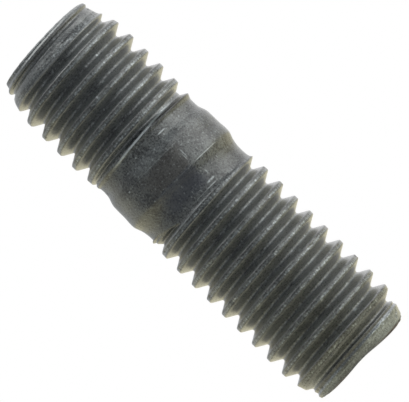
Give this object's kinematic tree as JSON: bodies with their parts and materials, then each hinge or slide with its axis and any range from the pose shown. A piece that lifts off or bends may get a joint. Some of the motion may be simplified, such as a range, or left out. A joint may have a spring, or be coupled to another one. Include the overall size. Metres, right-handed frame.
{
  "type": "stud bolt",
  "caption": "Short double-ended stud with coarse right-hand threads and a plain swelled body between them, in dark phosphated steel.",
  "frame": {"origin": "centre of the long (nut) end's face, on which the stud stands", "axes": "+Z along the stud's axis towards the short (tap) end; +X is the side of the rim that stands highest on the short end's slanted face"},
  "size_m": [0.0098, 0.0098, 0.0323],
  "materials": {
    "phosphated_steel": "dark phosphate with an oil film, satin, brighter on the crests"
  },
  "bodies": {
    "root": {"stud": "phosphated_steel"}
  },
  "joints": []
}
